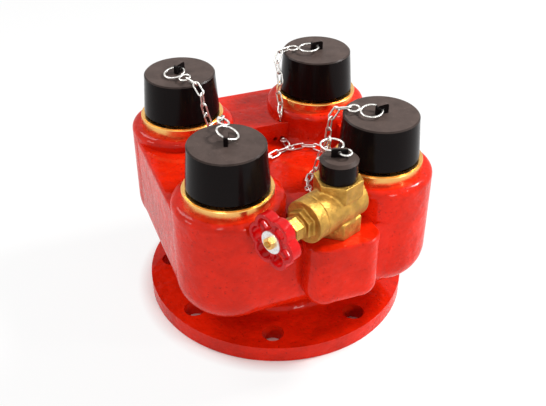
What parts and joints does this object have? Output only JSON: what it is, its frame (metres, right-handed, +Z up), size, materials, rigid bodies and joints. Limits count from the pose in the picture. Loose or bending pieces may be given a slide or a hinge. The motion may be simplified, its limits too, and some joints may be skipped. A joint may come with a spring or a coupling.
{
  "type": "fire department connection",
  "caption": "Dry riser breeching inlet: a flanged casting whose capped inlets stand in a square, with a gate drain valve and tethered blank caps.",
  "frame": {"origin": "centre of the outlet flange on its underside", "axes": "+Z up along the outlet towards the inlet couplings; the drain valve stands on the -Y side; +X to the right when facing the drain valve"},
  "size_m": [0.285, 0.3302, 0.2455],
  "materials": {
    "red_paint": "gloss enamel over rough cast iron",
    "ring_brass": "machined",
    "valve_brass": "as cast and machined",
    "cap_black": "satin, almost black",
    "rubber": "matte",
    "steel_wire": "bright wire",
    "chain_steel": "zinc plated wire",
    "spring_steel": "spring wire",
    "wheel_paint": "gloss enamel",
    "wheel_plate": "plain pressed disc",
    "packing": "graphited packing"
  },
  "bodies": {
    "inlet": {"casting": "red_paint", "chain_anchor": "steel_wire", "drain_nipple": "valve_brass", "valve_body": "valve_brass", "valve_bonnet": "valve_brass", "stem_packing": "packing", "gland_nut": "valve_brass", "drain_outlet": "valve_brass", "drain_chain": "chain_steel", "floor_chain": "chain_steel", "tether_rings": "steel_wire", "coupling_1": "ring_brass", "valve_guide_1": "ring_brass", "cap_chain_1": "chain_steel", "coupling_2": "ring_brass", "valve_guide_2": "ring_brass", "cap_chain_2": "chain_steel", "coupling_3": "ring_brass", "valve_guide_3": "ring_brass", "cap_chain_3": "chain_steel", "coupling_4": "ring_brass", "valve_guide_4": "ring_brass", "cap_chain_4": "chain_steel"},
    "cap_1_body": {"cap_1": "cap_black", "cap_washer_1": "rubber", "cap_hook_1": "steel_wire"},
    "cap_2_body": {"cap_2": "cap_black", "cap_washer_2": "rubber", "cap_hook_2": "steel_wire"},
    "cap_3_body": {"cap_3": "cap_black", "cap_washer_3": "rubber", "cap_hook_3": "steel_wire"},
    "cap_4_body": {"cap_4": "cap_black", "cap_washer_4": "rubber", "cap_hook_4": "steel_wire"},
    "check_1_body": {"check_valve_1": "ring_brass", "seat_rubber_1": "rubber", "spindle_nut_1": "ring_brass", "valve_spring_1": "spring_steel"},
    "check_2_body": {"check_valve_2": "ring_brass", "seat_rubber_2": "rubber", "spindle_nut_2": "ring_brass", "valve_spring_2": "spring_steel"},
    "check_3_body": {"check_valve_3": "ring_brass", "seat_rubber_3": "rubber", "spindle_nut_3": "ring_brass", "valve_spring_3": "spring_steel"},
    "check_4_body": {"check_valve_4": "ring_brass", "seat_rubber_4": "rubber", "spindle_nut_4": "ring_brass", "valve_spring_4": "spring_steel"},
    "drain_cap_body": {"drain_cap": "cap_black", "drain_washer": "rubber", "drain_hook": "steel_wire"},
    "spindle": {"valve_stem": "valve_brass", "handwheel": "wheel_paint", "wheel_plate": "wheel_plate", "wheel_nut": "valve_brass"},
    "gate": {"valve_gate": "valve_brass"}
  },
  "joints": [
    {"name": "cap_lift_1", "type": "slide", "parent": "inlet", "child": "cap_1_body", "axis": [0, 0, 1], "range_m": [0, 0.045], "deforming": ["cap_chain_1"]},
    {"name": "cap_lift_2", "type": "slide", "parent": "inlet", "child": "cap_2_body", "axis": [0, 0, 1], "range_m": [0, 0.045], "deforming": ["cap_chain_2"]},
    {"name": "cap_lift_3", "type": "slide", "parent": "inlet", "child": "cap_3_body", "axis": [0, 0, 1], "range_m": [0, 0.045], "deforming": ["cap_chain_3"]},
    {"name": "cap_lift_4", "type": "slide", "parent": "inlet", "child": "cap_4_body", "axis": [0, 0, 1], "range_m": [0, 0.045], "deforming": ["cap_chain_4"]},
    {"name": "check_lift_1", "type": "slide", "parent": "inlet", "child": "check_1_body", "axis": [0, 0, -1], "range_m": [0, 0.01], "stiffness_N_per_m": 600, "springref_m": -0.02, "deforming": ["valve_spring_1"]},
    {"name": "check_lift_2", "type": "slide", "parent": "inlet", "child": "check_2_body", "axis": [0, 0, -1], "range_m": [0, 0.01], "stiffness_N_per_m": 600, "springref_m": -0.02, "deforming": ["valve_spring_2"]},
    {"name": "check_lift_3", "type": "slide", "parent": "inlet", "child": "check_3_body", "axis": [0, 0, -1], "range_m": [0, 0.01], "stiffness_N_per_m": 600, "springref_m": -0.02, "deforming": ["valve_spring_3"]},
    {"name": "check_lift_4", "type": "slide", "parent": "inlet", "child": "check_4_body", "axis": [0, 0, -1], "range_m": [0, 0.01], "stiffness_N_per_m": 600, "springref_m": -0.02, "deforming": ["valve_spring_4"]},
    {"name": "drain_cap_lift", "type": "slide", "parent": "inlet", "child": "drain_cap_body", "axis": [0, 0, 1], "range_m": [0, 0.022], "deforming": ["drain_chain"]},
    {"name": "handwheel_turn", "type": "hinge", "parent": "inlet", "child": "spindle", "pos_m": [0.012, -0.127, 0.1795], "axis": [-0.9135, -0.4067, 0], "range_deg": [0, 1764]},
    {"name": "gate_slide", "type": "slide", "parent": "inlet", "child": "gate", "axis": [-0.9135, -0.4067, 0], "range_m": [0, 0.0245]}
  ],
  "couplings": [
    {"joint": "gate_slide", "follows": "handwheel_turn", "m_per_rad": 0.00079577}
  ]
}
